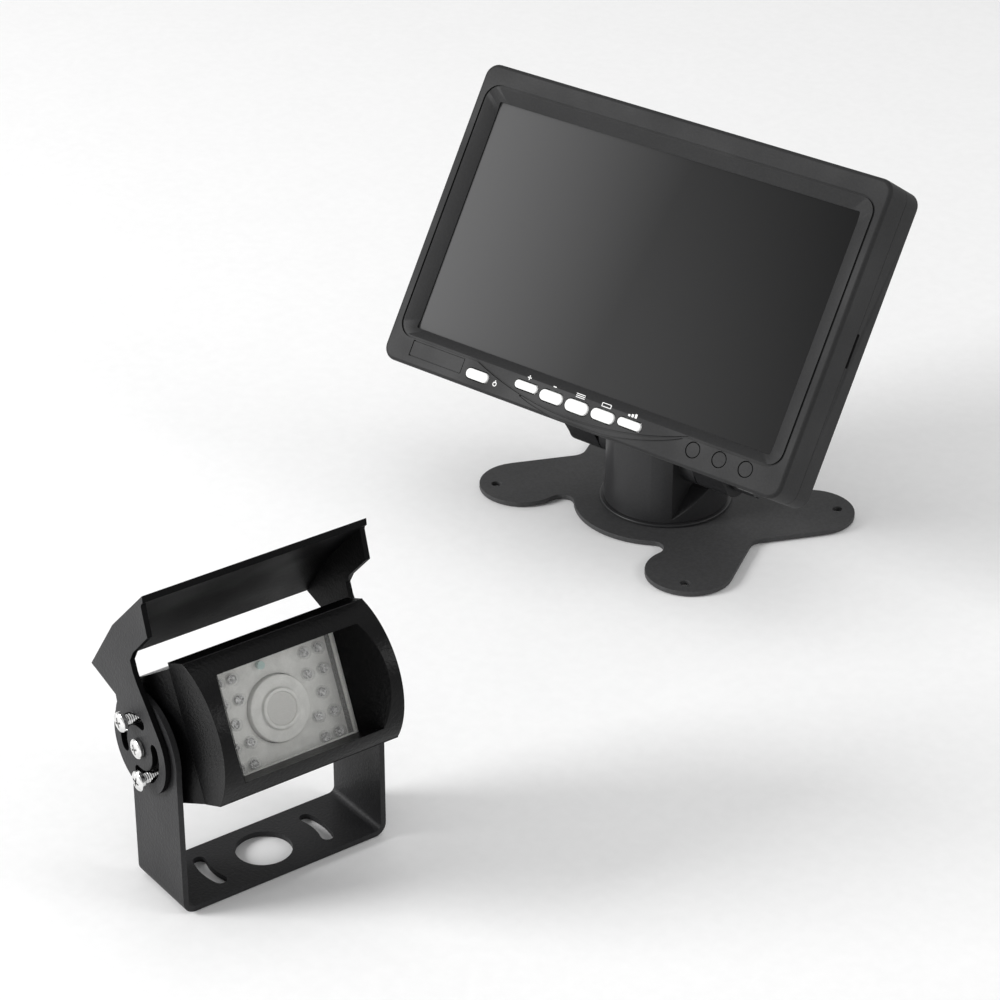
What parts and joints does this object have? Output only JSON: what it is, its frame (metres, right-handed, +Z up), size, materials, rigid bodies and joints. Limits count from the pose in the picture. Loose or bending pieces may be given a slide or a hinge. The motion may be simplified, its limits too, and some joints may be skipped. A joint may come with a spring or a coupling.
{
  "type": "backup camera kit",
  "caption": "Vehicle rear-view kit: a wide monitor on a swivelling, tilting four-lobed stand, and an infrared camera with a folding visor on a U bracket.",
  "frame": {"origin": "centre of the stand plate's underside", "axes": "+Z up, away from the surface it stands on; +X along the plate's longer side; the camera unit lies towards -Y"},
  "size_m": [0.1969, 0.3355, 0.1475],
  "materials": {
    "plate": "matte fine-textured dark grey coat",
    "neck_plastic": "semi-matte moulded black",
    "chrome_screw": "bright plated",
    "casing": "fine spark-eroded dark charcoal texture",
    "screen": "dark semi-gloss screen face",
    "lcd_metal": "pressed sheet",
    "circuit_board": "green solder mask",
    "component": "moulded component bodies",
    "rubber": "soft black",
    "button": "smooth white keycap",
    "powder_coat": "satin black powder coat, fine texture",
    "camera_shell": "semi-gloss black with fine grain",
    "window": "clear flat pane",
    "led_plate": "light warm grey",
    "led_lens": "clear domed diode",
    "sensor_lens": "pale teal",
    "front_lens": "coated lens"
  },
  "bodies": {
    "base": {"base_plate": "plate", "swivel_collar": "neck_plastic", "swivel_screw": "chrome_screw", "swivel_washer": "chrome_screw"},
    "neck": {"neck": "neck_plastic"},
    "monitor": {"tilt_head": "neck_plastic", "tilt_bolt": "chrome_screw", "head_screws": "chrome_screw", "front_frame": "casing", "rear_cover": "casing", "case_screws": "chrome_screw", "screen_glass": "screen", "lcd_module": "lcd_metal", "screen_chassis": "lcd_metal", "main_board": "circuit_board", "board_parts": "component", "button_board": "circuit_board", "tact_switches": "lcd_metal", "badge_plate": "casing", "blanking_caps": "casing", "cable_grommet": "rubber"},
    "tilt_knob": {"tilt_knob": "neck_plastic"},
    "power_button": {"power_button": "button"},
    "plus_button": {"plus_button": "button"},
    "minus_button": {"minus_button": "button"},
    "menu_button": {"menu_button": "button"},
    "display_button": {"display_button": "button"},
    "source_button": {"source_button": "button"},
    "camera_bracket": {"bracket": "powder_coat"},
    "camera": {"camera_bezel": "camera_shell", "camera_housing": "camera_shell", "housing_screws": "chrome_screw", "camera_gland": "rubber", "window_glass": "window", "window_seal": "rubber", "led_board": "led_plate", "ir_leds": "led_lens", "light_sensor": "sensor_lens", "lens_barrel": "led_plate", "lens_glass": "front_lens", "sensor_board": "circuit_board", "pivot_screws": "chrome_screw", "clamp_screws": "chrome_screw"},
    "visor": {"visor": "powder_coat"}
  },
  "joints": [
    {"name": "stand_swivel", "type": "hinge", "parent": "base", "child": "neck", "pos_m": [0, 0, 0], "axis": [0, 0, 1], "range_deg": [-180, 180]},
    {"name": "panel_tilt", "type": "hinge", "parent": "neck", "child": "monitor", "pos_m": [0.00059, -0.00396, 0.025], "axis": [0.989, 0.1478, 0], "range_deg": [-25, 45]},
    {"name": "knob_turn", "type": "hinge", "parent": "monitor", "child": "tilt_knob", "pos_m": [0.00059, -0.00396, 0.025], "axis": [0.989, 0.1478, 0], "range_deg": [0, 270]},
    {"name": "power_press", "type": "slide", "parent": "monitor", "child": "power_button", "axis": [-0.1234, 0.8257, -0.5505], "range_m": [0, 0.0005], "stiffness_N_per_m": 300, "springref_m": -0.0005},
    {"name": "plus_press", "type": "slide", "parent": "monitor", "child": "plus_button", "axis": [-0.1234, 0.8257, -0.5505], "range_m": [0, 0.0005], "stiffness_N_per_m": 300, "springref_m": -0.0005},
    {"name": "minus_press", "type": "slide", "parent": "monitor", "child": "minus_button", "axis": [-0.1234, 0.8257, -0.5505], "range_m": [0, 0.0005], "stiffness_N_per_m": 300, "springref_m": -0.0005},
    {"name": "menu_press", "type": "slide", "parent": "monitor", "child": "menu_button", "axis": [-0.1234, 0.8257, -0.5505], "range_m": [0, 0.0005], "stiffness_N_per_m": 300, "springref_m": -0.0005},
    {"name": "display_press", "type": "slide", "parent": "monitor", "child": "display_button", "axis": [-0.1234, 0.8257, -0.5505], "range_m": [0, 0.0005], "stiffness_N_per_m": 300, "springref_m": -0.0005},
    {"name": "source_press", "type": "slide", "parent": "monitor", "child": "source_button", "axis": [-0.1234, 0.8257, -0.5505], "range_m": [0, 0.0005], "stiffness_N_per_m": 300, "springref_m": -0.0005},
    {"name": "camera_placing", "type": "slide", "parent": "base", "child": "camera_bracket", "axis": [0, -1, 0], "range_m": [0, 0.08]},
    {"name": "camera_tilt", "type": "hinge", "parent": "camera_bracket", "child": "camera", "pos_m": [0.07002, -0.24557, 0.0508], "axis": [0.108, 0.9942, 0], "range_deg": [-45, 35]},
    {"name": "visor_tilt", "type": "hinge", "parent": "camera", "child": "visor", "pos_m": [0.07002, -0.24557, 0.0508], "axis": [0.108, 0.9942, 0], "range_deg": [-36, 26]}
  ]
}
